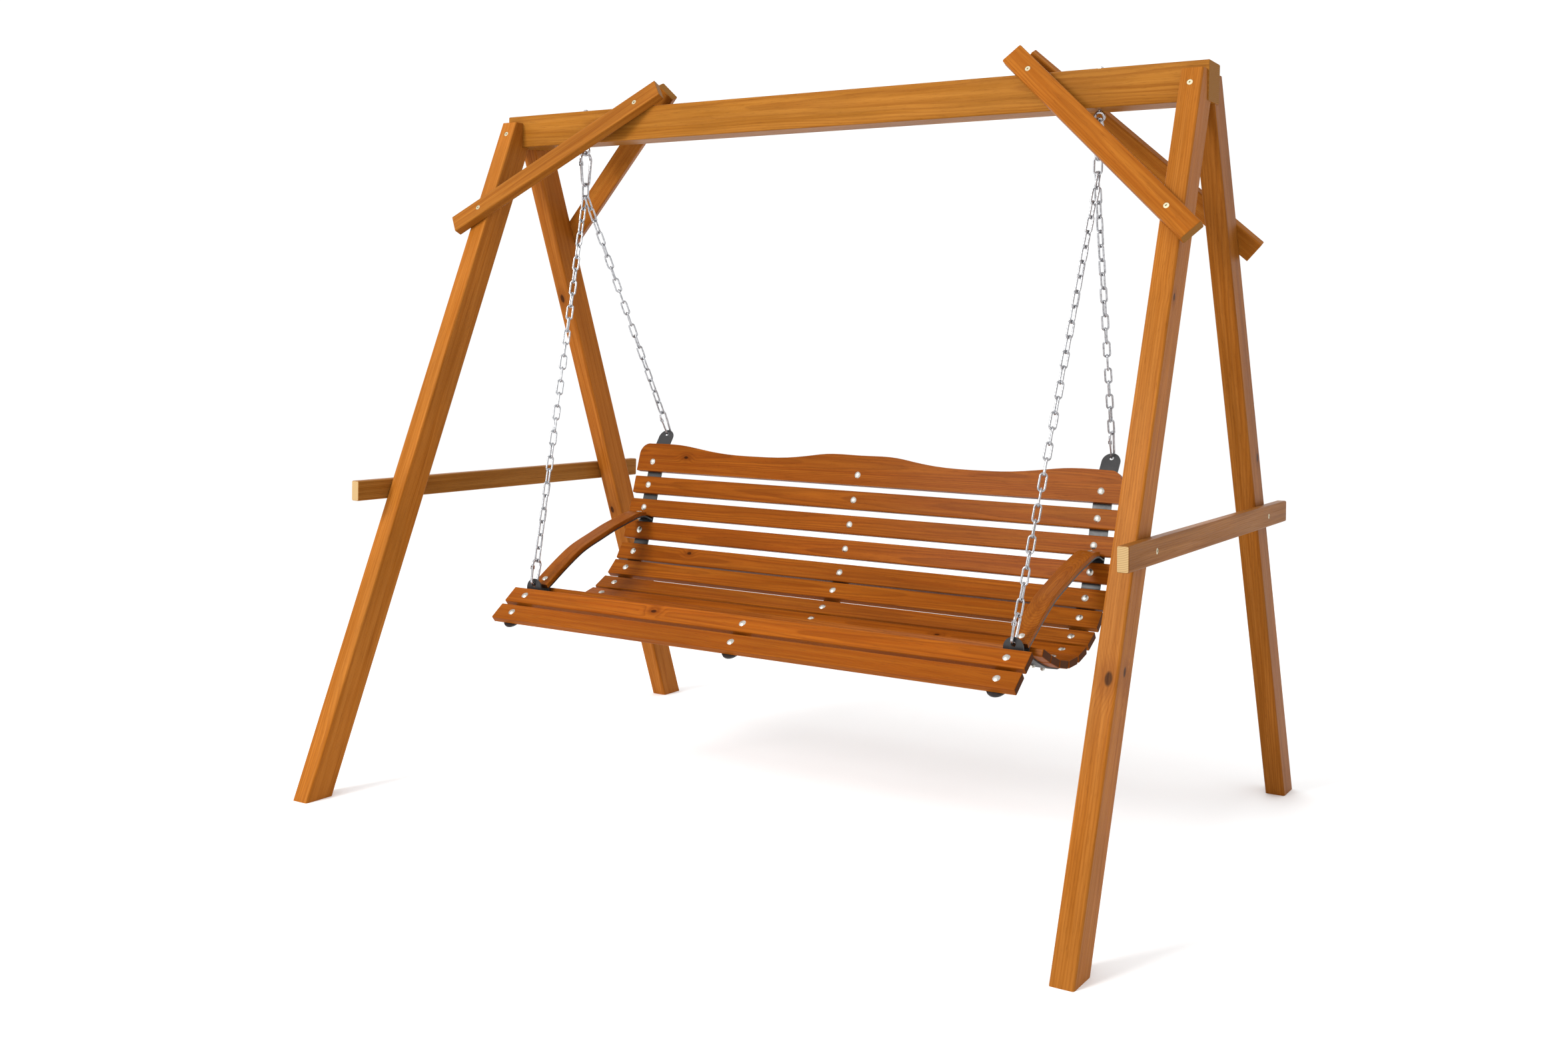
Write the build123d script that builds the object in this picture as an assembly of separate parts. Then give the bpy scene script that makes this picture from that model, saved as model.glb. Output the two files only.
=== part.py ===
"""Garden porch swing: A-frame of pine, slatted bench on chains.
Millimetres, +Z up, +X along the beam, -Y is the front, origin on the ground
under the middle of the beam."""
from build123d import *
import math
import os

os.makedirs("parts", exist_ok=True)

# ---------------------------------------------------------------- frame sizes
BEAM_L, BEAM_D, BEAM_H = 2045.0, 76.0, 88.0
BEAM_TOP = 1795.0
BEAM_BOT = BEAM_TOP - BEAM_H
LEG_W, LEG_D, LEG_R = 51.0, 75.0, 5.0
LEG_TOP = 1774.0
LEG_TOP_Y = 66.0            # front face of the leg, from the middle, at LEG_TOP
LEG_FOOT_Y = 751.0          # the same face at the ground
LEG_TOP_X = 1019.0          # outer face at LEG_TOP
LEG_FOOT_X = 1055.0         # outer face at the ground
BOARD_W, BOARD_T, BOARD_R = 52.0, 25.0, 4.0
RAIL_L, RAIL_Z = 1114.0, 764.5
BRACE_W, BRACE_L = 55.0, 698.0
# brace: x of its middle, distance of its middle below z=1775 in its own plane,
# slope, height at which it crosses the leg
BRACES = {
    "front_right": (1, -1, 803.0, -170.5, 43.2, 1460.0),
    "front_left": (-1, -1, 777.0, -136.5, 34.7, 1521.0),
    "rear_right": (1, 1, 810.0, -176.0, 44.3, 1450.0),
    "rear_left": (-1, 1, 775.0, -154.0, 39.5, 1480.0),
}
LEAN = math.atan((LEG_FOOT_Y - LEG_TOP_Y) / LEG_TOP)
SPLAY = math.atan((LEG_FOOT_X - LEG_TOP_X) / LEG_TOP)

# ---------------------------------------------------------------- hanging gear
HOOK_X, HOOK_Y = 760.0, -11.0
EYE_Z, EYE_R, EYE_WIRE = 1690.0, 11.5, 3.5
TOP_IN, TOP_WIRE = 84.0, 4.0          # big carabiner, inside length, wire radius
LINK_IN, LINK_WIRE, LINK_HALF = 35.2, 2.5, 7.5
PITCH = 35.1
N_FRONT, N_REAR = 29, 19
SPLIT = 2.6                # the two first links sit side by side
FRONT_WIRE, REAR_WIRE = 3.5, 3.0
HOLE_R = 6.0

# ---------------------------------------------------------------- bench sizes
SEAT_L = 1500.0
SLAT_W, SLAT_T, SLAT_R = 50.0, 19.0, 3.0
STRAP_X, STRAP_W, STRAP_T = 698.0, 49.0, 4.0
ARM_W, ARM_T, BAND_T = 49.0, 11.0, 4.0
BOLT_R = 3.0
FLAT_Z = 491.7              # straps run level here, between seat and front slats
STRAP_BEND_Z, STRAP_TOP_ANGLE = 835.0, 56.0
LUG_Y, LUG_TOP, LUG_HOLE_Z = 291.0, 533.5, 517.5
# crest slat: height of its top line above its screws, from the middle outwards
CREST = [(0, 54.0), (110, 53.0), (172, 44.0), (240, 36.0), (345, 33.0),
         (432, 34.5), (520, 43.0), (600, 53.0), (668, 54.5), (714, 53.5)]
CREST_LOW = 28.0
# underside of the armrest band (y, z), rear to front
ARM_LINE = [(141.0, 660.5), (115.0, 661.5), (66.0, 650.5), (14.0, 636.5), (-44.0, 617.0),
            (-90.0, 601.5), (-126.0, 587.0), (-155.0, 571.5), (-190.0, 550.5),
            (-225.0, 528.0), (-248.5, 512.5)]
SHIFT_Y = 16.3              # puts the weight of the bench under the hooks
# crest slat: middle of its face (y, z); then slope of each slat and the gap that
# follows it along the strap, from the crest down to the middle of the seat front
CREST_Y, CREST_Z = 199.0, 817.7
SLOPES = [73.5, 73.5, 73.5, 72.0, 59.5, 45.0, 29.5, 15.5, 2.0, -12.0, -22.0, -25.5]
GAPS = [16.0, 17.0, 17.0, 19.5, 9.0, 17.0, 12.5, 7.5, 7.0, 5.5, 3.0]
# the two slats of the front roll: middle of the upper one, slope, distance apart
FRONT_Y, FRONT_Z, FRONT_SLOPE, FRONT_STEP = -324.9, 494.6, 37.7, 60.4
NODES = {}


def lay_slats():
    """Walk down the straps and set each slat flat on them."""
    out = []
    a = math.radians(SLOPES[0])
    y, z = CREST_Y + SLAT_T * math.sin(a), CREST_Z - SLAT_T * math.cos(a)
    for i, slope in enumerate(SLOPES):
        a = math.radians(slope)
        if i:
            step = SLAT_W / 2 + GAPS[i - 1] / 2
            y, z = y - math.cos(a) * step, z - math.sin(a) * step
        name = f"slat_{i + 1:02d}" + ("_crest" if i == 0 else "")
        out.append((name, y - SLAT_T * math.sin(a), z + SLAT_T * math.cos(a), slope))
        if i < len(GAPS):
            step = (CREST_LOW if i == 0 else SLAT_W / 2) + GAPS[i] / 2
            y, z = y - math.cos(a) * step, z - math.sin(a) * step
    a = math.radians(FRONT_SLOPE)
    for k, name in enumerate(("slat_13", "slat_14_front")):
        step = k * FRONT_STEP
        out.append((name, FRONT_Y - math.cos(a) * step, FRONT_Z - math.sin(a) * step, FRONT_SLOPE))
    return out


def put(name, shape):
    """Write one node, a part or a group of separate solids."""
    if isinstance(shape, (list, tuple)):
        shape = Compound(children=list(shape)) if len(shape) > 1 else shape[0]
    shape.label = name
    NODES[name] = shape
    export_step(shape, f"parts/{name}.step")


def rod(a, b, r):
    """Cylinder from point a to point b."""
    a, b = Vector(*a), Vector(*b)
    return Solid.make_cylinder(r, (b - a).length, Plane(origin=a, z_dir=(b - a)))


def bar(x, y, z, r):
    """Bar along Z with four rounded long edges, middle at the origin."""
    return extrude(RectangleRounded(x, y, r), z / 2, both=True)


def soften(shape, r, axis):
    """Round the edges that lie square to an axis (the end edges)."""
    ends = [e for e in shape.edges() if abs(e.tangent_at(0.5).dot(Vector(*axis))) < 1e-3]
    for rr in (r, r * 0.6):
        try:
            return fillet(ends, rr)
        except Exception:
            pass
    return shape


# ================================================================= the frame
def side_frame(side):
    """Location of an A-frame: leans outward with its middle plane at x=0."""
    return Pos(side * (LEG_TOP_X - LEG_W / 2), 0, LEG_TOP) * Rot(
        0, -side * math.degrees(SPLAY), 0)


def make_leg(side, end):
    d = LEG_D / math.cos(LEAN)
    stick = bar(LEG_W, LEG_D, 4200, LEG_R)
    loc = Pos(0, end * (LEG_TOP_Y - d / 2), 0) * Rot(end * math.degrees(LEAN), 0, 0)
    leg = side_frame(side) * (loc * stick)
    leg -= Pos(side * 1000, end * 500, -500) * Box(800, 2400, 1000)
    leg -= Pos(side * 1000, 0, LEG_TOP + 1500) * Box(800, 4000, 3000)
    leg -= Pos(side * 1000, -end * 700, BEAM_BOT - 300 + 800) * Box(800, 1400, 1600)
    slot = Pos(0, 0, BEAM_BOT + 500) * Box(3000, BEAM_D, 1000)
    leg -= slot
    return leg


def brace_plane(end, z_leg):
    """Tilt of a brace and a point on its back plane.

    The board leans on the upper edge of the beam and on the leg."""
    dip_beam, dip_leg = 2.1, 1.5
    yb, zb = BEAM_D / 2, BEAM_TOP
    yl = LEG_TOP_Y + (LEG_TOP - z_leg) * math.tan(LEAN)
    tilt = math.atan2(yl - dip_leg / math.cos(LEAN) - yb, zb - z_leg)
    for _ in range(6):
        y0 = yb - dip_beam / math.cos(tilt)
        tilt = math.atan2(yl - dip_leg / math.cos(LEAN) - y0, zb - z_leg)
    return tilt, y0


def make_brace(key):
    side, end, xc, vc, slope, z_leg = BRACES[key]
    tilt, y0 = brace_plane(end, z_leg)
    up = Vector(0, math.sin(tilt), math.cos(tilt))
    out = Vector(0, -math.cos(tilt), math.sin(tilt))
    ph = math.radians(slope)
    along = Vector(math.cos(ph), 0, 0) - up * math.sin(ph)
    start = Vector(0, -y0, BEAM_TOP) + up * ((1775.0 - BEAM_TOP) / math.cos(tilt))
    mid = start + Vector(xc, 0, 0) + up * vc + out * (BOARD_T / 2)
    board = soften(bar(BRACE_W, BOARD_T, BRACE_L, BOARD_R), 2.0, (0, 0, 1))
    board = Plane(origin=mid, x_dir=along.cross(out), z_dir=along).location * board
    # screws: one into the beam edge, one into the leg
    y_leg = LEG_TOP_Y + (LEG_TOP - z_leg) * math.tan(LEAN)
    s_leg = (z_leg - mid.Z) / along.Z
    s_beam = (BEAM_TOP + 3 - mid.Z) / along.Z
    pts = []
    for s in (s_beam, s_leg):
        p = mid + along * s + out * (BOARD_T / 2)
        pts.append((p, out * -1.0))
    if side < 0:
        board = board.mirror(Plane.YZ)
        pts = [(Vector(-p.X, p.Y, p.Z), d) for p, d in pts]
    if end > 0:
        board = board.mirror(Plane.XZ)
        pts = [(Vector(p.X, -p.Y, p.Z), Vector(d.X, -d.Y, d.Z)) for p, d in pts]
    return board, pts


def screw(p, d, length, head_r=6.5, head_h=3.2, r=2.8):
    """Round-head screw, head let in flush, hex recess in the head."""
    p, d = Vector(*p), Vector(*d).normalized()
    pl = Plane(origin=p, z_dir=d)
    body = pl.location * (
        Pos(0, 0, 0.4 + head_h / 2) * Cylinder(head_r, head_h)
        + Pos(0, 0, 0.4 + head_h / 2 + length / 2) * Cylinder(r, length))
    recess = pl.location * extrude(RegularPolygon(2.6, 6), 2.6)
    return body - recess


def screw_hole(p, d, length, head_r=6.8, head_h=3.6, r=3.0):
    p, d = Vector(*p), Vector(*d).normalized()
    pl = Plane(origin=p, z_dir=d)
    return pl.location * (
        Pos(0, 0, -6 + (head_h + 6) / 2) * Cylinder(head_r, head_h + 6)
        + Pos(0, 0, head_h / 2 + length / 2) * Cylinder(r, length + 1))


def build_frame():
    beam = soften(Rot(0, 90, 0) * bar(BEAM_H, BEAM_D, BEAM_L, 4.0), 2.0, (1, 0, 0))
    beam = Pos(0, 0, BEAM_TOP - BEAM_H / 2) * beam
    for s in (-1, 1):
        beam -= rod((s * HOOK_X, HOOK_Y, BEAM_BOT - 10), (s * HOOK_X, HOOK_Y, BEAM_TOP + 10), 4.3)
    legs, rails, braces = {}, {}, {}
    screws = {"leg_top_screws": [], "brace_screws": [], "rail_screws": []}
    names = {1: "right", -1: "left"}
    ends = {-1: "front", 1: "rear"}
    for s in (1, -1):
        rail = soften(Rot(90, 0, 0) * bar(BOARD_T, BOARD_W, RAIL_L, BOARD_R), 2.0, (0, 1, 0))
        x0 = s * (LEG_W / 2 + BOARD_T / 2)
        z0 = (RAIL_Z - LEG_TOP) / math.cos(SPLAY)
        rail = side_frame(s) * (Pos(x0, 0, z0) * rail)
        for e in (-1, 1):
            leg = make_leg(s, e)
            loc = side_frame(s)
            yc = e * (LEG_TOP_Y - LEG_D / 2 / math.cos(LEAN)
                      + (LEG_TOP - RAIL_Z) * math.tan(LEAN) - 16)
            a = (loc * Pos(s * (LEG_W / 2 + BOARD_T), yc, z0)).position
            b = (loc * Pos(s * (LEG_W / 2), yc, z0)).position
            d = b - a
            cut = screw_hole(a, d, 62)
            rail -= cut
            leg -= cut
            screws["rail_screws"].append(screw(a, d, 60))
            # screw through the leg top into the beam, square to the leg
            zt = 1741.0
            yt = e * (LEG_TOP_Y + (LEG_TOP - zt) * math.tan(LEAN))
            a = (loc * Pos(-s * 1.0, yt, zt - LEG_TOP)).position
            d = Vector(0, -e * math.cos(LEAN), -math.sin(LEAN))
            cut = screw_hole(a, d, 82)
            leg -= cut
            beam -= cut
            screws["leg_top_screws"].append(screw(a, d, 80))
            legs[(s, e)] = leg
        rails[s] = rail
    for key, (s, e, *_rest) in BRACES.items():
        board, pts = make_brace(key)
        beam -= board
        legs[(s, e)] -= board
        for k, (p, d) in enumerate(pts):
            ln = 62 if k == 0 else 70
            cut = screw_hole(p, d, ln + 2)
            board -= cut
            beam -= cut
            legs[(s, e)] -= cut
            screws["brace_screws"].append(screw(p, d, ln))
        braces[key] = board
    put("beam", beam)
    for (s, e), leg in legs.items():
        put(f"leg_{ends[e]}_{names[s]}", leg)
    for s in (1, -1):
        put(f"rail_{names[s]}", rails[s])
    for key, board in braces.items():
        put(f"brace_{key}", board)
    for name, items in screws.items():
        put(name, items)


# ================================================================ hanging gear
def torus_at(p, normal, major, minor):
    return Plane(origin=p, z_dir=normal).location * Torus(major, minor)


def build_eyes():
    nuts, washers = [], []
    for s, nm in ((1, "right"), (-1, "left")):
        x = s * HOOK_X
        y, top = HOOK_Y, BEAM_TOP
        eye = torus_at((x, y, EYE_Z), (0, 1, 0), EYE_R, EYE_WIRE)
        eye += rod((x, y, EYE_Z + EYE_R), (x, y, top + 8), 4.0)
        put(f"eye_bolt_{nm}", eye)
        nut = Pos(x, y, top + 1.5) * extrude(RegularPolygon(7.2, 6), 5.0)
        nut -= rod((x, y, top), (x, y, top + 20), 4.05)
        nuts.append(nut)
        w = Pos(x, y, top + 0.75) * Cylinder(10, 1.5)
        w -= rod((x, y, top - 3), (x, y, top + 6), 4.2)
        washers.append(w)
    put("eye_bolt_nuts", nuts)
    put("eye_bolt_washers", washers)


def carabiner(inner, r, big, small):
    """Snap hook in the local XZ plane, spine on +X, small bow at the bottom.

    The inside of the top bow is at z=0 and of the bottom bow at z=-inner."""
    zt, zb = r - big, -inner - r + small
    # the straight sides touch both bows
    dz, dr = zt - zb, big - small
    t = math.asin(dr / dz)
    cx, sx = math.cos(t), math.sin(t)
    top_r, bot_r = (big * cx, zt - big * sx), (small * cx, zb - small * sx)
    hinge = 0.22                 # hinge and nose, as a share of the side
    nose = 0.86
    left = lambda f: (-(top_r[0] + (bot_r[0] - top_r[0]) * f),
                      top_r[1] + (bot_r[1] - top_r[1]) * f)
    h, n = left(hinge), left(nose)
    pl = Plane.XZ
    a = left(hinge - 1.15 * r / dz)
    path = Wire([
        Edge.make_line(pl.from_local_coords(Vector(*a)),
                       pl.from_local_coords(Vector(-top_r[0], top_r[1]))),
        Edge.make_three_point_arc(pl.from_local_coords(Vector(-top_r[0], top_r[1])),
                                  pl.from_local_coords(Vector(0, zt + big)),
                                  pl.from_local_coords(Vector(top_r[0], top_r[1]))),
        Edge.make_line(pl.from_local_coords(Vector(top_r[0], top_r[1])),
                       pl.from_local_coords(Vector(bot_r[0], bot_r[1]))),
        Edge.make_three_point_arc(pl.from_local_coords(Vector(bot_r[0], bot_r[1])),
                                  pl.from_local_coords(Vector(0, zb - small)),
                                  pl.from_local_coords(Vector(-bot_r[0], bot_r[1]))),
        Edge.make_line(pl.from_local_coords(Vector(-bot_r[0], bot_r[1])),
                       pl.from_local_coords(Vector(*n))),
    ])
    start = Plane(origin=path.position_at(0), z_dir=path.tangent_at(0))
    body = sweep(start * Circle(r), path=path)
    hv, nv = Vector(h[0], 0, h[1]), Vector(n[0], 0, n[1])
    along = (nv - hv).normalized()
    # cheeks that carry the hinge pin
    ck = Plane(origin=hv, x_dir=(0, 1, 0), z_dir=along)
    for s in (-1, 1):
        cheek = Pos(s * (r + 0.75), 0, -0.5 * r) * Box(1.1, 1.5 * r, 3.0 * r)
        body += ck.location * cheek
        body += ck.location * (Pos(s * r * 0.75, 0, -1.7 * r) * Box(r * 0.8, r, r * 0.6))
    body -= Pos(hv.X, 0, hv.Z) * Sphere(r + 0.25)
    body += rod(hv + Vector(0, -(r + 1.2), 0), hv + Vector(0, r + 1.2, 0), 0.28 * r)
    gate = rod(hv, nv - along * 0.5, r * 0.92) + Pos(hv.X, 0, hv.Z) * Sphere(r * 0.98)
    gate -= rod(hv + Vector(0, -3 * r, 0), hv + Vector(0, 3 * r, 0), 0.28 * r + 0.12)
    return body, gate, hv


def link(inner, wire, half):
    """Chain link in the local XZ plane, middle at the origin."""
    st = inner + 2 * wire - 2 * half
    parts = []
    for sx in (-1, 1):
        parts.append(Pos(sx * half, 0, 0) * Cylinder(wire, st))
    for sz in (-1, 1):
        arc = Plane(origin=(0, 0, sz * st / 2), x_dir=(1, 0, 0), z_dir=(0, 1, 0)).location * Torus(
            half, wire)
        keep = Pos(0, 0, sz * (st / 2 + 50)) * Box(100, 100, 100)
        parts.append(arc & keep)
    out = parts[0]
    for p in parts[1:]:
        out = out + p
    return out


def along_plane(p, u, turn):
    """Local Z down the chain, local X turned about it."""
    ref = Vector(0, 1, 0) if abs(Vector(*u).Y) < 0.9 else Vector(1, 0, 0)
    u = Vector(*u).normalized()
    x = (ref - u * ref.dot(u)).normalized()
    y = u.cross(x)
    a = math.radians(turn)
    return Plane(origin=p, x_dir=x * math.cos(a) + y * math.sin(a), z_dir=u * -1)


def turns(n, twist):
    """Each link is a quarter turn on from the last, with a slow twist."""
    return [90 * (i % 2) + twist * i / (n - 1) for i in range(n)]


def build_hangers():
    hook_z = EYE_Z - EYE_R + EYE_WIRE
    s_top = hook_z - TOP_IN
    gears = {}
    for s, nm in ((1, "right"), (-1, "left")):
        x = s * HOOK_X
        body, gate, hv = carabiner(TOP_IN, TOP_WIRE, 20.0, 14.0)
        loc = Pos(x, HOOK_Y, hook_z + 0.05) * Rot(0, 0, 90)
        put(f"top_carabiner_{nm}", loc * body)
        put(f"top_carabiner_{nm}_gate", loc * gate)
        gears[f"top_{nm}"] = (loc * Pos(hv.X, 0, hv.Z)).position
        lk = link(LINK_IN, LINK_WIRE, 9.5)
        put(f"top_link_{nm}", Pos(x, HOOK_Y, s_top + 0.1 - LINK_IN / 2) * lk)
    bow = LINK_HALF + 2.0 - LINK_WIRE
    drop = bow - math.sqrt((bow - LINK_WIRE - 0.3) ** 2 - SPLIT ** 2) - LINK_WIRE
    return s_top - LINK_IN + 0.1 + drop, gears


def chain(p0, ring, n, wire, big, small, twist, name):
    """Links from p0 towards the ring of steel, then a carabiner round it."""
    p0, ring = Vector(*p0), Vector(*ring)
    u = (ring - p0).normalized()
    out = []
    for i, turn in enumerate(turns(n, twist)):
        c = p0 + u * (PITCH * (i + 0.5))
        out.append(along_plane(c, u, turn).location * link(LINK_IN, LINK_WIRE, LINK_HALF))
    put(name, out)
    in_len = (ring - p0).length - PITCH * n - 1.0 + (small - wire)
    body, gate, hv = carabiner(in_len, wire, big, small)
    end = p0 + u * (PITCH * n - 0.05)
    loc = along_plane(end, u, 0).location
    base = name.replace("chain", "carabiner")
    put(base, loc * body)
    put(base + "_gate", loc * gate)
    pin = (loc * Pos(hv.X, hv.Y, hv.Z)).position
    axis = (loc * Pos(hv.X, hv.Y + 1, hv.Z)).position - pin
    return pin, axis


# ==================================================================== bench
def deg(a):
    return math.cos(math.radians(a)), math.sin(math.radians(a))


def back_of(slat):
    """Point on the back of a slat and its direction, in (y, z)."""
    _n, y, z, a = slat
    c, s = deg(a)
    return (y + SLAT_T * s, z - SLAT_T * c), (c, s)


def meet(p, d, q, e):
    """Where two lines in the (y, z) plane cross."""
    det = -d[0] * e[1] + e[0] * d[1]
    t = (-(q[0] - p[0]) * e[1] + e[0] * (q[1] - p[1])) / det
    return (p[0] + d[0] * t, p[1] + d[1] * t)


def strap_line(outer):
    """Corner points of the front surface of a strap, top to front."""
    first = 0 if outer else MIDDLE_FROM
    slats = SLATS[first:]
    backs = [back_of(s) for s in slats]
    p, d = backs[0]
    if outer:
        k = (STRAP_BEND_Z - p[1]) / d[1]
        v = (p[0] + d[0] * k, STRAP_BEND_Z)
        c, s = deg(STRAP_TOP_ANGLE)
        pts = [(v[0] + c * 87.0, v[1] + s * 87.0), v]
    else:
        pts = [(p[0] + d[0] * 24.0, p[1] + d[1] * 24.0)]
    for i in range(len(backs) - 1):
        (p, d), (q, e) = backs[i], backs[i + 1]
        if slats[i][0] == "slat_12":
            pts.append((p[0] + d[0] * (FLAT_Z - p[1]) / d[1], FLAT_Z))
            pts.append((q[0] + e[0] * (FLAT_Z - q[1]) / e[1], FLAT_Z))
        elif abs(d[0] * e[1] - d[1] * e[0]) > 0.005:
            pts.append(meet(p, d, q, e))
    p, d = backs[-1]
    pts.append((p[0] - d[0] * 34.0, p[1] - d[1] * 34.0))
    return pts


def shifted(pts, t):
    """The same line moved t to the left of its direction of travel."""
    out = []
    for i, (y, z) in enumerate(pts):
        ns = []
        for a, b in ((i - 1, i), (i, i + 1)):
            if 0 <= a and b < len(pts):
                dy, dz = pts[b][0] - pts[a][0], pts[b][1] - pts[a][1]
                ln = math.hypot(dy, dz)
                ns.append((-dz / ln, dy / ln))
        ny, nz = sum(n[0] for n in ns), sum(n[1] for n in ns)
        k = t * len(ns) / (ny * ny + nz * nz)
        out.append((y + ny * k, z + nz * k))
    return out


def solid_across(edges, x_mid, width):
    """Fill a closed outline drawn in (y, z) and give it a width along X."""
    face = make_face(edges)
    side = Plane(origin=(x_mid - width / 2, 0, 0), x_dir=(0, 1, 0), z_dir=(1, 0, 0))
    body = extrude(side * face, width)
    return body if body.volume > 0 else extrude(side * face, -width)


def flat_bar(line, t, x_mid, width, bend):
    other = shifted(line, t)
    a, b = FilletPolyline(*line, radius=bend), FilletPolyline(*other, radius=bend)
    ends = [Line(line[0], other[0]), Line(line[-1], other[-1])]
    return solid_across(a.edges() + b.edges() + ends, x_mid, width)


def round_corners(body, point, t, r):
    """Round the two corners of a flat bar at its end near a (y, z) point."""
    near = [e for e in body.edges() if abs(e.length - t) < 0.05
            and abs(e.tangent_at(0.5).X) < 0.01
            and math.hypot(e.center().Y - point[0], e.center().Z - point[1]) < t + 1]
    return fillet(near, r)


def dome_bolt(length, head=9.0, rise=3.3, r=BOLT_R):
    """Carriage bolt: the head stands up from z=0, the shank hangs down."""
    ball = (head * head + rise * rise) / (2 * rise)
    cap = Pos(0, 0, rise - ball) * Sphere(ball)
    cap &= Pos(0, 0, 5 + 0.02) * Cylinder(head + 1, 10)
    return cap + Pos(0, 0, -length / 2 + 0.02) * Cylinder(r, length)


def hex_nut(r=BOLT_R, across=10.0, h=5.0):
    nut = extrude(RegularPolygon(across / math.sqrt(3), 6), h)
    return nut - Pos(0, 0, h / 2) * Cylinder(r + 0.05, h + 2)


def on_slat(y, z, a, x=0.0):
    """Plane on the sitting face: local x along +X, local z out of the face."""
    c, s = deg(a)
    return Plane(origin=(x, y, z), x_dir=(1, 0, 0), z_dir=(0, -s, c))


def crest_slat():
    top = [(x, h) for x, h in CREST]
    pts = [(-x, h) for x, h in reversed(top[1:])] + top
    half = SEAT_L / 2
    curve = Spline(*pts)
    shoulder_r = ThreePointArc(pts[-1], (half - 9.5, 44.0), (half, 18.0))
    shoulder_l = ThreePointArc((-half, 18.0), (-half + 9.5, 44.0), pts[0])
    low = Polyline((half, 18.0), (half, -CREST_LOW), (-half, -CREST_LOW), (-half, 18.0))
    face = make_face([curve, shoulder_r, shoulder_l] + list(low.edges()))
    body = extrude(face, SLAT_T)
    if body.bounding_box().min.Z < -1:
        body = Pos(0, 0, SLAT_T) * body
    return Pos(0, 0, -SLAT_T) * body


HOLES_X = (-STRAP_X, 0.0, STRAP_X)
MIDDLE_FROM = 4             # the middle strap begins behind the fifth slat
SLATS = lay_slats()


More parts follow.
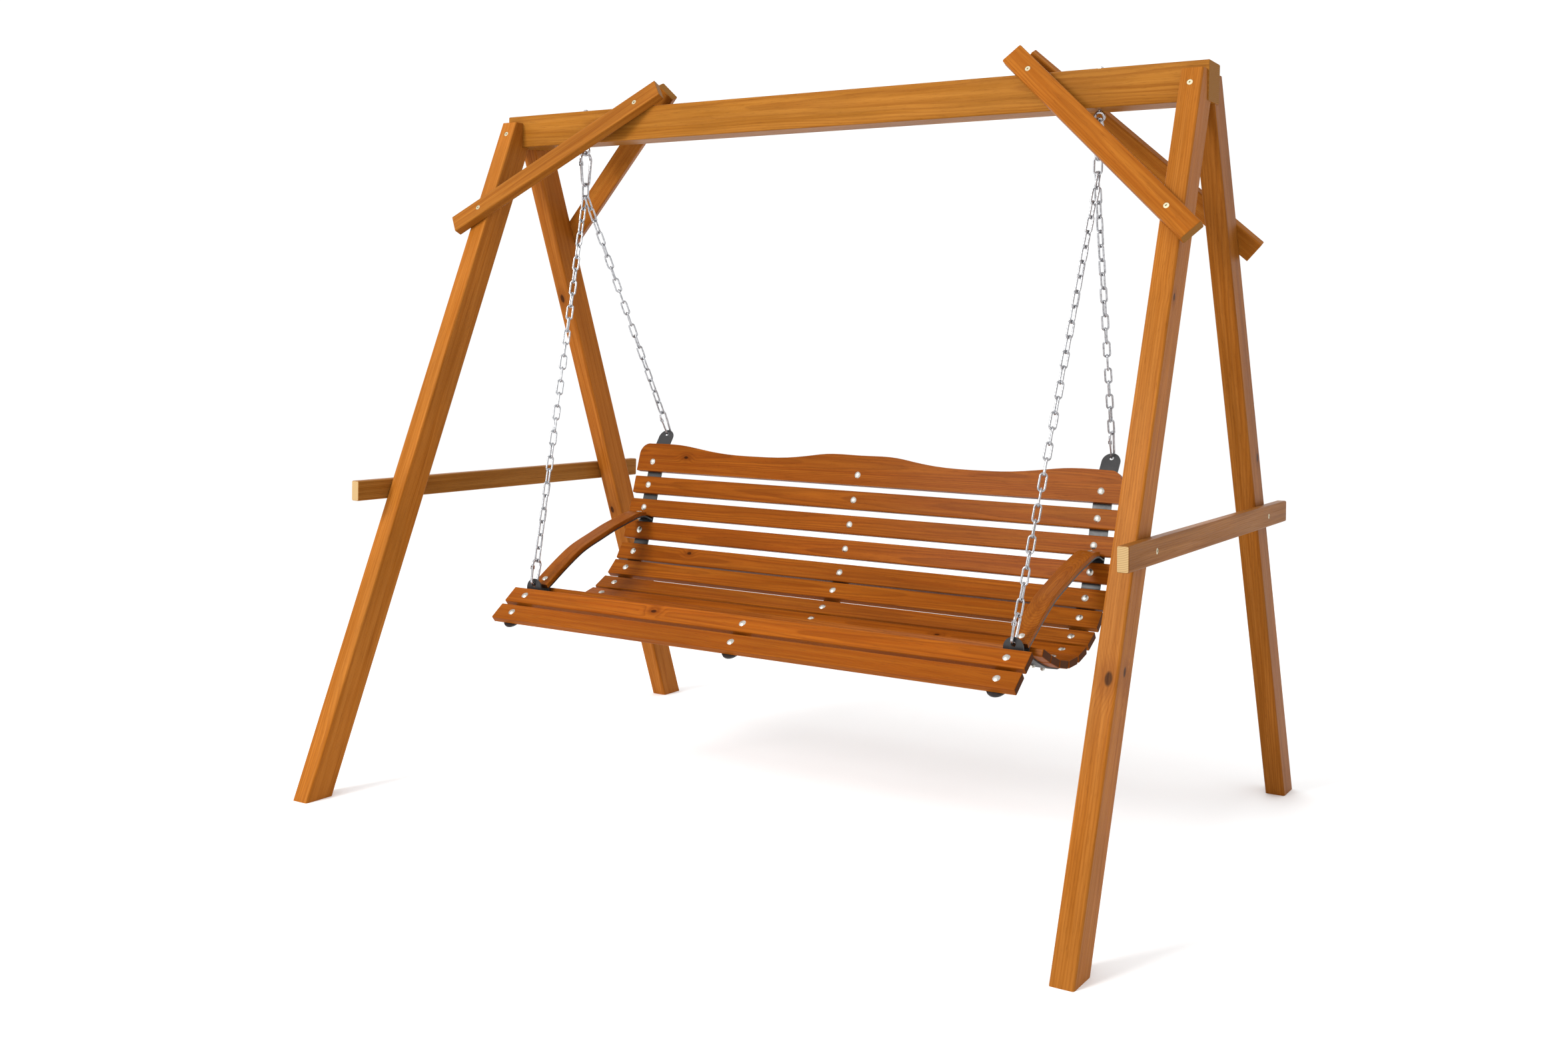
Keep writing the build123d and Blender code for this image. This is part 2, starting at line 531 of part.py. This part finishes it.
def build_bench(move):
    out = {}
    plain = Rot(0, 90, 0) * bar(SLAT_T, SLAT_W, SEAT_L, SLAT_R)
    plain = Pos(0, 0, -SLAT_T / 2) * soften(plain, 2.0, (1, 0, 0))
    hole = Cylinder(BOLT_R + 0.1, 80)
    for x in HOLES_X:
        plain -= Pos(x, 0, 0) * hole
    crest = crest_slat()
    for x in HOLES_X:
        crest -= Pos(x, 0, 0) * hole
    grip = SLAT_T + STRAP_T
    bolt, nut = dome_bolt(grip + 7.0), hex_nut()
    bolts, nuts = [], []
    straps = {n: flat_bar(strap_line(x != 0), STRAP_T, x, STRAP_W, 12.0)
              for n, x in zip(("left", "middle", "right"), HOLES_X)}
    for i, (name, y, z, a) in enumerate(SLATS):
        at = on_slat(y, z, a).location
        out[name] = at * (crest if name == "slat_01_crest" else plain)
        for x in HOLES_X:
            here = on_slat(y, z, a, x).location
            bolts.append(here * bolt)
            back = SLAT_T if x == 0 and i < MIDDLE_FROM else grip
            nuts.append(here * Pos(0, 0, -back - 5.3) * nut)
        for key, x in zip(straps, HOLES_X):
            straps[key] -= on_slat(y, z, a, x).location * hole
    line = strap_line(True)
    mid_line = strap_line(False)
    c, s = deg(STRAP_TOP_ANGLE)
    end = line[0]
    hole_at = (end[0] - c * 13.6 + s * STRAP_T / 2, end[1] - s * 13.6 - c * STRAP_T / 2)
    ring = (end[0] - c * 3.8 + s * STRAP_T / 2, end[1] - s * 3.8 - c * STRAP_T / 2)
    for key, x in zip(straps, HOLES_X):
        body = straps[key]
        pts = mid_line if x == 0 else line
        other = shifted(pts, STRAP_T)
        for k in (0, -1):
            mid = ((pts[k][0] + other[k][0]) / 2, (pts[k][1] + other[k][1]) / 2)
            r = 24.4 if not (x == 0 and k == 0) else 6.0
            body = round_corners(body, mid, STRAP_T, r)
        if x != 0:
            body -= rod((x, hole_at[0] - s * 20, hole_at[1] + c * 20),
                        (x, hole_at[0] + s * 20, hole_at[1] - c * 20), HOLE_R)
        straps[key] = body
    # armrests: a bent wooden strip on a steel band that ends in the chain lug
    n = len(ARM_LINE)
    lug = [(-256.5, 507.9), (-260.5, FLAT_Z), (-LUG_Y, FLAT_Z), (-LUG_Y, LUG_TOP)]
    full = ARM_LINE + lug
    rear = [(176.0, 649.6), (150.5, 656.8)]
    low = rear + full
    up = shifted(low, -BAND_T)
    under = FilletPolyline(*(low[n + 1:]), radius=3.0)
    over = FilletPolyline(*(up[n + 1:]), radius=4.5)
    band_edges = [Spline(*low[:n + 2]), Spline(*up[:n + 2]), Line(low[0], up[0]),
                  Line(low[-1], up[-1])] + list(under.edges()) + list(over.edges())
    wood_low = shifted(ARM_LINE + [(-262.0, 504.3)], -BAND_T + 0.5)
    wood_up = shifted(ARM_LINE + [(-262.0, 504.3)], -BAND_T - ARM_T)
    wood_edges = [Spline(*wood_low), Spline(*wood_up), Line(wood_low[0], wood_up[0]),
                  Line(wood_low[-1], wood_up[-1])]
    arm_bolts, arm_nuts = [], []
    for side, x in (("left", -STRAP_X), ("right", STRAP_X)):
        band = solid_across(band_edges, x, ARM_W)
        mid = (-LUG_Y + BAND_T / 2, LUG_TOP)
        band = round_corners(band, mid, BAND_T, 24.4)
        band = (band - straps[side]).solids().sort_by(Axis.Y)[0]
        wood = solid_across(wood_edges, x, ARM_W)
        longs = [e for e in wood.edges() if e.length > 250]
        tops = sorted(longs, key=lambda e: e.center().Z)[-2:]
        wood = fillet(tops, 2.5) - Pos(0, 0, 0.3) * band
        band -= rod((x, -LUG_Y - 5, LUG_HOLE_Z), (x, -LUG_Y + 9, LUG_HOLE_Z), HOLE_R)
        # bolts: rear and front of the wood, and the foot on the strap
        marks = [(138.0, 660.9, -2.0, BAND_T + ARM_T), (-241.0, 517.5, 33.5, BAND_T + ARM_T),
                 (-276.0, FLAT_Z, 0.0, BAND_T)]
        for y, z, a, g in marks:
            cc, ss = deg(a)
            at = Plane(origin=(x, y - ss * g, z + cc * g), x_dir=(1, 0, 0), z_dir=(0, -ss, cc))
            foot = 0.0 if g > BAND_T else STRAP_T
            arm_bolts.append(at.location * dome_bolt(g + foot + 7.0, head=8.0, rise=3.0))
            arm_nuts.append(at.location * Pos(0, 0, -g - foot - 6.1) * hex_nut())
            drill = at.location * Cylinder(BOLT_R + 0.1, 60)
            band -= drill
            if foot:
                straps[side] -= drill
            else:
                wood -= drill
                wood -= at.location * Pos(0, 0, 4.95) * Cylinder(8.4, 10)
        out[f"arm_band_{side}"] = band
        out[f"armrest_{side}"] = wood
    for key, body in straps.items():
        out[f"strap_{key}"] = body
    out["slat_bolts"], out["armrest_bolts"] = bolts, arm_bolts
    out["bench_nuts"] = nuts + arm_nuts
    for name, shape in out.items():
        if isinstance(shape, list):
            put(name, [move * s for s in shape])
        else:
            put(name, move * shape)
    return ring, (-LUG_Y + BAND_T / 2, LUG_HOLE_Z + HOLE_R + 5.0)


def main():
    build_frame()
    build_eyes()
    s_z, gears = build_hangers()
    move = Pos(0, SHIFT_Y, 0)
    ring, lug = build_bench(move)
    for s, nm in ((1, "right"), (-1, "left")):
        a = (move * Pos(s * STRAP_X, lug[0], lug[1])).position
        gears[f"front_{nm}"] = chain((s * (HOOK_X + SPLIT), HOOK_Y, s_z), a, N_FRONT,
                                     FRONT_WIRE, 14.0, 10.5, s * 90, f"chain_front_{nm}")
        b = (move * Pos(s * STRAP_X, ring[0], ring[1])).position
        gears[f"rear_{nm}"] = chain((s * (HOOK_X - SPLIT), HOOK_Y, s_z), b, N_REAR,
                                    REAR_WIRE, 12.5, 9.0, s * 90, f"chain_rear_{nm}")
    print("seat pivot z", round(s_z, 3))
    for k, v in gears.items():
        print(k, v)
    wood, steel = 0.55, 7.85
    mass = mom = momz = 0.0
    for name, shape in NODES.items():
        if any(w in name for w in ("slat", "strap", "arm", "chain", "carabiner", "bench")):
            if name.startswith("top_"):
                continue
            light = name.startswith("slat_0") or name.startswith("slat_1") or (
                name.startswith("armrest_") and "bolt" not in name)
            m = shape.volume * (wood if light else steel) / 1e6
            c = shape.center(CenterOf.MASS)
            mass, mom, momz = mass + m, mom + m * c.Y, momz + m * c.Z
    print("hanging mass", round(mass, 2), "kg, middle y", round(mom / mass, 2),
          "z", round(momz / mass, 1), "nodes", len(NODES))


main()
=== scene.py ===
"""Looks for the garden porch swing: stained pine, black steel and bright zinc."""
import math
import random

import bpy
import numpy as np
from mathutils import Matrix, Vector

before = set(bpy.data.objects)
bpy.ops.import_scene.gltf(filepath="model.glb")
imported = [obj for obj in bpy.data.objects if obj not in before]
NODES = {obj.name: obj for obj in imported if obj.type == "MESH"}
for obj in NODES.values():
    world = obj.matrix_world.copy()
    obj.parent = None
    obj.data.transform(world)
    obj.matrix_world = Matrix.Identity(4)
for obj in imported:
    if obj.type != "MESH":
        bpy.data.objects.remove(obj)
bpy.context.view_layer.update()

RNG = random.Random(41)


# ------------------------------------------------------------------ node helpers
class Net:
    """A node tree with short calls for the few node types that are used."""

    def __init__(self, tree):
        self.tree = tree

    def new(self, kind, **props):
        node = self.tree.nodes.new(kind)
        for key, value in props.items():
            setattr(node, key, value)
        return node

    def link(self, source, target):
        self.tree.links.new(source, target)

    def feed(self, socket, value):
        """Link a socket to another one, or set its value."""
        if isinstance(value, bpy.types.NodeSocket):
            self.link(value, socket)
        else:
            socket.default_value = value

    def math(self, op, a, b=0.0):
        node = self.new("ShaderNodeMath", operation=op)
        self.feed(node.inputs[0], a)
        self.feed(node.inputs[1], b)
        return node.outputs[0]

    def vec(self, op, a, b):
        node = self.new("ShaderNodeVectorMath", operation=op)
        self.feed(node.inputs[0], a)
        self.feed(node.inputs[1], b)
        return node.outputs["Value" if op == "DOT_PRODUCT" else "Vector"]

    def xyz(self, *parts):
        node = self.new("ShaderNodeCombineXYZ")
        for socket, value in zip(node.inputs, parts):
            self.feed(socket, value)
        return node.outputs[0]

    def coord(self, kind):
        return self.new("ShaderNodeTexCoord").outputs[kind]

    def noise(self, place, scale, detail, rough=0.5):
        node = self.new("ShaderNodeTexNoise")
        self.feed(node.inputs["Vector"], place)
        node.inputs["Scale"].default_value = scale
        node.inputs["Detail"].default_value = detail
        node.inputs["Roughness"].default_value = rough
        return node.outputs["Fac"]

    def span(self, value, start, end, low=0.0, high=1.0):
        """Smooth step from low to high while the value goes from start to end."""
        node = self.new("ShaderNodeMapRange", interpolation_type="SMOOTHSTEP")
        self.feed(node.inputs["Value"], value)
        limits = {"From Min": start, "From Max": end, "To Min": low, "To Max": high}
        for name, limit in limits.items():
            node.inputs[name].default_value = limit
        return node.outputs["Result"]

    def mix(self, share, a, b, mode="MIX"):
        node = self.new("ShaderNodeMix", data_type="RGBA", blend_type=mode)
        self.feed(node.inputs["Factor"], share)
        sockets = [s for s in node.inputs if s.type == "RGBA"]
        for socket, colour in zip(sockets, (a, b)):
            self.feed(socket, (*colour, 1.0) if isinstance(colour, tuple) else colour)
        return next(s for s in node.outputs if s.type == "RGBA")

    def bump(self, height, strength, distance):
        node = self.new("ShaderNodeBump")
        node.inputs["Strength"].default_value = strength
        node.inputs["Distance"].default_value = distance
        self.feed(node.inputs["Height"], height)
        return node.outputs["Normal"]


def blank(name):
    """A new material, its node tree and its main shader."""
    material = bpy.data.materials.new(name)
    material.use_nodes = True
    return material, Net(material.node_tree), material.node_tree.nodes["Principled BSDF"]


def srgb(*levels):
    """Screen values, 0 to 255, as linear colour."""
    shares = [level / 255.0 for level in levels]
    return tuple(c / 12.92 if c <= 0.04045 else ((c + 0.055) / 1.055) ** 2.4 for c in shares)


def darker(colour, share):
    return tuple(c * share for c in colour)


def set_material(obj, material):
    slots = obj.data.materials
    for i in range(len(slots)):
        slots[i] = material
    if not slots:
        slots.append(material)


# ------------------------------------------------------------------ stained pine
# noise frequencies along and across the board, per metre
FIBRE = (9.0, 520.0)
STREAK = (2.4, 95.0)
PORE = (38.0, 900.0)
CLOUD = (3.0, 16.0)
SLOW_DRIFT = (1.6, 5.0)
RING_WAVE = (6.5, 22.0)
WAVE_SIZE = 0.0032           # how far the small waves push a ring, in metres
KNOT_STRETCH = 0.55          # a knot's mark is longer along the board than across
FIBRE_RELIEF = (0.35, 0.0006)
# bend of the armrests about their middle, 1 / metre
ARM_BEND = -0.62

FRAME_LOOK = dict(pale=srgb(160, 97, 36), deep=srgb(143, 81, 22), dark=srgb(104, 50, 10),
                  end=srgb(134, 90, 40), ring=0.0036, contrast=0.36, wander=0.022)
BEAM_LOOK = dict(FRAME_LOOK, pale=srgb(158, 104, 40), deep=srgb(143, 90, 28))
SLAT_LOOK = dict(pale=srgb(140, 76, 17), deep=srgb(126, 62, 10), dark=srgb(86, 35, 4),
                 end=srgb(72, 36, 10), ring=0.0034, contrast=0.45, wander=0.018)
ARM_LOOK = dict(SLAT_LOOK, pale=srgb(142, 80, 20), deep=srgb(126, 66, 12))
BRACE_LOOK = dict(FRAME_LOOK, pale=srgb(156, 95, 32), deep=srgb(138, 77, 20), ring=0.0030)
RAIL_LOOK = dict(FRAME_LOOK, pale=srgb(144, 94, 40), deep=srgb(128, 78, 26),
                 dark=srgb(92, 48, 14), end=srgb(178, 148, 104))
# how each kind of board looks, by the start of its name
LOOKS = {"slat_": SLAT_LOOK, "armrest_": ARM_LOOK, "brace_": BRACE_LOOK, "rail_": RAIL_LOOK,
         "beam": BEAM_LOOK, "leg_": FRAME_LOOK}
FASTENINGS = ("bolts", "screws")

# brightness of some boards: partly how much stain each took, partly painted light, a painted sheen
# on the lighter ones and painted shade on the darker ones
STAIN_AND_LIGHT = {"leg_rear_right": 0.76, "beam": 0.90, "brace_front_left": 0.86, "slat_01_crest": 0.86,
         "slat_13": 1.12, "slat_14_front": 1.12, "rail_left": 1.12, "rail_right": 0.90}

# knots by board: along, across, radius in metres, and the direction that across means
KNOTS = {
    "leg_front_right": [(0.41, 0.0, 0.006, "wide"), (-0.37, 0.002, 0.007, "wide"),
                        (-0.39, -0.008, 0.010, "thick")],
    "leg_rear_left": [(0.45, 0.004, 0.009, "thick"), (-0.25, 0.006, 0.008, "thick")],
    "leg_rear_right": [(0.02, 0.004, 0.008, "wide")],
    "slat_01_crest": [(-0.58, 0.004, 0.005, "wide")],
    "slat_05": [(-0.50, 0.010, 0.005, "wide")],
    "slat_08": [(0.37, -0.006, 0.005, "wide")],
    "slat_13": [(-0.27, 0.002, 0.006, "wide")],
}


def board_axes(obj):
    """Middle of a board and its length, width and thickness directions."""
    points = np.zeros(len(obj.data.vertices) * 3)
    obj.data.vertices.foreach_get("co", points)
    points = points.reshape(-1, 3)
    middle = (points.min(0) + points.max(0)) / 2
    _, vecs = np.linalg.eigh(np.cov((points - middle).T))
    length, width = (v * (1 if v[np.argmax(abs(v))] > 0 else -1) for v in (vecs[:, 2], vecs[:, 1]))
    thickness = np.cross(length, width)
    return Vector(middle), Vector(length), Vector(width), Vector(thickness)


def board_look(name):
    """Colours and grain of one board; each one is cut from its own place in a log."""
    look = dict(next(look for start, look in LOOKS.items() if name.startswith(start)))
    # random tone times the board's factor, which holds painted sheen and painted shade as well as
    # stain
    tone_and_light = STAIN_AND_LIGHT.get(name, 1.0) * (1.0 + RNG.uniform(-0.08, 0.08))
    warm = RNG.uniform(-0.05, 0.05)
    for key in ("pale", "deep", "dark"):
        r, g, b = look[key]
        look[key] = (r * tone_and_light, g * tone_and_light * (1 + warm), b * tone_and_light * (1 + 2 * warm))
    look["seed"] = RNG.uniform(0.0, 20.0)
    flat_sawn = RNG.random() < 0.6
    side = RNG.choice((-1, 1))
    if flat_sawn:
        look["pith"] = (side * RNG.uniform(0.0, 0.02), -RNG.uniform(0.02, 0.05))
    else:
        look["pith"] = (side * RNG.uniform(0.05, 0.10), -RNG.uniform(0.01, 0.03))
    look["taper"] = RNG.choice((-1, 1)) * RNG.uniform(0.006, 0.014)
    look["ring"] *= RNG.uniform(0.85, 1.25)
    return look


def knot_marks(net, u, v, w, knots):
    """How far knots push the rings aside, and their dark cores and halos."""
    swirl, core, halo = None, None, None
    for along, across, radius, direction in knots:
        du = net.math("MULTIPLY", net.math("SUBTRACT", u, along), KNOT_STRETCH)
        dv = net.math("SUBTRACT", v if direction == "wide" else w, across)
        squares = [net.math("MULTIPLY", d, d) for d in (du, dv)]
        away = net.math("SQRT", net.math("ADD", *squares))
        push = net.math("MULTIPLY", net.span(away, 0.0, radius * 4.5, 1.0, 0.0), radius * 1.3)
        inner = net.span(away, radius * 0.55, radius, 1.0, 0.0)
        outer = net.span(away, radius * 0.8, radius * 3.2, 1.0, 0.0)
        swirl = push if swirl is None else net.math("ADD", swirl, push)
        core = inner if core is None else net.math("MAXIMUM", core, inner)
        halo = outer if halo is None else net.math("MAXIMUM", halo, outer)
    return swirl, core, halo


def pine(name, axes, look, knots, bend):
    """Varnished pine cut from a log: rings, fibres, pores and knots run through
    the board, so faces, edges and end grain all agree."""
    material, net, shader = blank(name)
    middle, length, width, thickness = (tuple(a) for a in axes)
    rel = net.vec("SUBTRACT", net.coord("Object"), middle)
    u, v, w = (net.vec("DOT_PRODUCT", rel, a) for a in (length, width, thickness))
    w = net.math("SUBTRACT", w, net.math("MULTIPLY", net.math("MULTIPLY", u, u), bend))
    along = net.math("ADD", u, look["seed"] * 3.17)

    def grain(frequency, detail, rough, third=None):
        """Noise that is drawn out along the board."""
        a, b = frequency
        c = net.math("MULTIPLY", w, b) if third is None else third
        place = net.xyz(net.math("MULTIPLY", along, a), net.math("MULTIPLY", v, b), c)
        return net.noise(place, 1.0, detail, rough)

    # growth rings: distance from the pith, which wanders along the board
    slow = net.math("SUBTRACT", grain(SLOW_DRIFT, 2.0, 0.45), 0.5)
    wave = net.math("SUBTRACT", grain(RING_WAVE, 1.5, 0.5, look["seed"]), 0.5)
    pith_v, pith_w = look["pith"]
    dv = net.math("ADD", net.math("SUBTRACT", v, pith_v), net.math("MULTIPLY", slow, look["wander"]))
    dw = net.math("SUBTRACT", w, pith_w)
    squares = [net.math("MULTIPLY", d, d) for d in (dv, dw)]
    r = net.math("SQRT", net.math("ADD", *squares))
    r = net.math("ADD", r, net.math("MULTIPLY", along, look["taper"]))
    r = net.math("ADD", r, net.math("MULTIPLY", wave, WAVE_SIZE))
    swirl, core, halo = knot_marks(net, u, v, w, knots)
    if knots:
        r = net.math("ADD", r, swirl)
    ring = net.math("FRACT", net.math("DIVIDE", r, look["ring"]))
    late = net.math("MULTIPLY", net.span(ring, 0.25, 0.90), net.span(ring, 0.90, 1.0, 1.0, 0.0))

    # colour: streaks, late wood, fibres, pores and clouds of stain
    fine = grain(FIBRE, 3.0, 0.6)
    pores = net.span(grain(PORE, 2.0, 0.5), 0.60, 0.72)
    cloud = grain(CLOUD, 2.0, 0.5)
    dark = look["dark"]
    late_share = net.math("MULTIPLY", late, net.span(cloud, 0.25, 0.75, 0.45, 1.0))
    colour = net.mix(net.span(grain(STREAK, 2.5, 0.55), 0.28, 0.72), look["pale"], look["deep"])
    colour = net.mix(net.math("MULTIPLY", late_share, look["contrast"]), colour, dark)
    colour = net.mix(net.math("MULTIPLY", net.span(fine, 0.45, 0.8), 0.35), colour, dark)
    colour = net.mix(net.math("MULTIPLY", pores, 0.30), colour, darker(dark, 0.45))
    tone = net.span(cloud, 0.2, 0.8, 0.86, 1.12)
    colour = net.mix(1.0, colour, net.xyz(tone, tone, tone), "MULTIPLY")
    if knots:
        colour = net.mix(net.math("MULTIPLY", halo, 0.42), colour, dark)
        knot = net.math("MULTIPLY", core, net.span(fine, 0.2, 0.7, 0.75, 1.0))
        colour = net.mix(knot, colour, darker(dark, 0.22))
    # end grain drinks more stain
    facing = net.math("ABSOLUTE", net.vec("DOT_PRODUCT", net.coord("Normal"), length))
    end = net.span(facing, 0.80, 0.97)
    end_rings = net.mix(net.math("MULTIPLY", late, 0.55), look["end"], darker(look["end"], 0.5))
    net.link(net.mix(end, colour, end_rings), shader.inputs["Base Color"])

    # satin varnish over fibres that still show
    rough = net.math("ADD", net.span(fine, 0.3, 0.8, 0.36, 0.50), net.math("MULTIPLY", end, 0.22))
    net.link(rough, shader.inputs["Roughness"])
    height = net.math("ADD", net.math("MULTIPLY", fine, 0.5), net.math("MULTIPLY", late, 0.35))
    height = net.math("SUBTRACT", height, net.math("MULTIPLY", pores, 0.5))
    net.link(net.bump(height, *FIBRE_RELIEF), shader.inputs["Normal"])
    shader.inputs["Specular IOR Level"].default_value = 0.05
    shader.inputs["Specular Tint"].default_value = (1.0, 0.62, 0.30, 1.0)
    shader.inputs["Coat Weight"].default_value = 0.02
    shader.inputs["Coat Roughness"].default_value = 0.18
    return material


def is_board(name):
    return name.startswith(tuple(LOOKS)) and not name.endswith(FASTENINGS)


def stain_boards():
    for name in sorted(NODES):
        if is_board(name):
            bend = ARM_BEND if name.startswith("armrest_") else 0.0
            look = board_look(name)
            axes = board_axes(NODES[name])
            set_material(NODES[name], pine("pine_" + name, axes, look, KNOTS.get(name, ()), bend))


# ------------------------------------------------------------------ metals
def zinc(name, colour, rough, grain):
    """Plated steel, a little dull in patches."""
    material, net, shader = blank(name)
    place = net.coord("Object")
    patches = net.noise(place, 140.0, 2.0)
    fine = net.noise(place, 1500.0, 2.0)
    shown = net.mix(net.span(patches, 0.35, 0.75), colour, darker(colour, 0.62))
    net.link(shown, shader.inputs["Base Color"])
    gloss = net.span(patches, 0.3, 0.75, rough * 0.75, rough * 1.5)
    gloss = net.math("ADD", gloss, net.math("MULTIPLY", fine, 0.05))
    net.link(gloss, shader.inputs["Roughness"])
    net.link(net.bump(fine, grain, 0.0002), shader.inputs["Normal"])
    shader.inputs["Metallic"].default_value = 1.0
    return material


def powder_coat(name):
    """Black satin coat with a fine orange peel."""
    material, net, shader = blank(name)
    place = net.coord("Object")
    peel = net.noise(place, 900.0, 2.0)
    dust = net.noise(place, 22.0, 3.0, 0.6)
    shown = net.mix(net.span(dust, 0.45, 0.8), (0.010, 0.010, 0.011), (0.022, 0.021, 0.021))
    net.link(shown, shader.inputs["Base Color"])
    net.link(net.span(dust, 0.3, 0.8, 0.38, 0.52), shader.inputs["Roughness"])
    net.link(net.bump(peel, 0.30, 0.0003), shader.inputs["Normal"])
    return material


def plate_metals():
    chain = zinc("zinc_chain", (0.46, 0.47, 0.49), 0.22, 0.15)
    hook = zinc("zinc_hook", (0.52, 0.52, 0.54), 0.20, 0.10)
    bolt = zinc("zinc_bolt", (0.66, 0.64, 0.58), 0.28, 0.25)
    screw = zinc("zinc_screw", (0.62, 0.55, 0.38), 0.32, 0.25)
    black = powder_coat("black_coat")
    for name, obj in NODES.items():
        if is_board(name):
            continue
        if name.startswith(("strap", "arm_band")):
            set_material(obj, black)
        elif name.startswith(("chain", "top_link")):
            set_material(obj, chain)
        elif "carabiner" in name or name.startswith("eye_bolt"):
            set_material(obj, hook)
        elif name.endswith("screws"):
            set_material(obj, screw)
        else:
            set_material(obj, bolt)


# ------------------------------------------------------------------ studio
FLOOR_HALF = 30.0
WORLD_LIGHT = 1.1


def area(name, place, target, size, power):
    """A rectangular lamp that looks at a target."""
    data = bpy.data.lights.new(name, "AREA")
    data.shape = "RECTANGLE"
    data.size, data.size_y = size
    data.energy = power
    lamp = bpy.data.objects.new(name, data)
    bpy.context.scene.collection.objects.link(lamp)
    lamp.location = place
    towards = Vector(target) - Vector(place)
    lamp.rotation_euler = towards.to_track_quat("-Z", "Y").to_euler()


def studio():
    mesh = bpy.data.meshes.new("floor")
    s = FLOOR_HALF
    mesh.from_pydata([(-s, -s, 0), (s, -s, 0), (s, s, 0), (-s, s, 0)], [], [(0, 1, 2, 3)])
    floor = bpy.data.objects.new("floor", mesh)
    bpy.context.scene.collection.objects.link(floor)
    paper, _, shader = blank("floor_paper")
    shader.inputs["Base Color"].default_value = (0.93, 0.93, 0.93, 1)
    shader.inputs["Roughness"].default_value = 0.9
    mesh.materials.append(paper)
    world = bpy.data.worlds.new("studio")
    bpy.context.scene.world = world
    world.use_nodes = True
    sky = world.node_tree.nodes["Background"]
    sky.inputs["Color"].default_value = (1.0, 1.0, 1.0, 1)
    sky.inputs["Strength"].default_value = WORLD_LIGHT
    area("key", (-2.4, -6.0, 4.6), (0, 0, 0.9), (2.4, 2.4), 480)
    area("back", (-1.5, 5.5, 3.6), (0, 0, 1.0), (4.0, 2.0), 40)


# the photograph's view: lens and sensor in mm, shift in sensor widths, angles in degrees
SENSOR, LENS = 36.0, 34.2211
LENS_SHIFT = (-0.069486, -0.052887)
EYE = (2.0566, -3.2088, 1.1495)
YAW, PITCH, ROLL = 29.6475, -3.3619, 1.0489


def camera():
    data = bpy.data.cameras.new("view")
    data.sensor_fit = "HORIZONTAL"
    data.sensor_width, data.lens = SENSOR, LENS
    data.shift_x, data.shift_y = LENS_SHIFT
    data.clip_start, data.clip_end = 0.05, 100.0
    view = bpy.data.objects.new("view", data)
    bpy.context.scene.collection.objects.link(view)
    yaw, pitch, roll = (math.radians(x) for x in (YAW, PITCH, ROLL))
    ahead = Vector((-math.sin(yaw) * math.cos(pitch), math.cos(yaw) * math.cos(pitch),
                    math.sin(pitch)))
    level = Vector((math.cos(yaw), math.sin(yaw), 0))
    upright = level.cross(ahead)
    right = level * math.cos(roll) + upright * math.sin(roll)
    up = upright * math.cos(roll) - level * math.sin(roll)
    rows = [(right[i], up[i], -ahead[i], EYE[i]) for i in range(3)] + [(0, 0, 0, 1)]
    view.matrix_world = Matrix(rows)
    bpy.context.scene.camera = view


bpy.context.scene.view_settings.view_transform = "Standard"
stain_boards()
plate_metals()
studio()
camera()
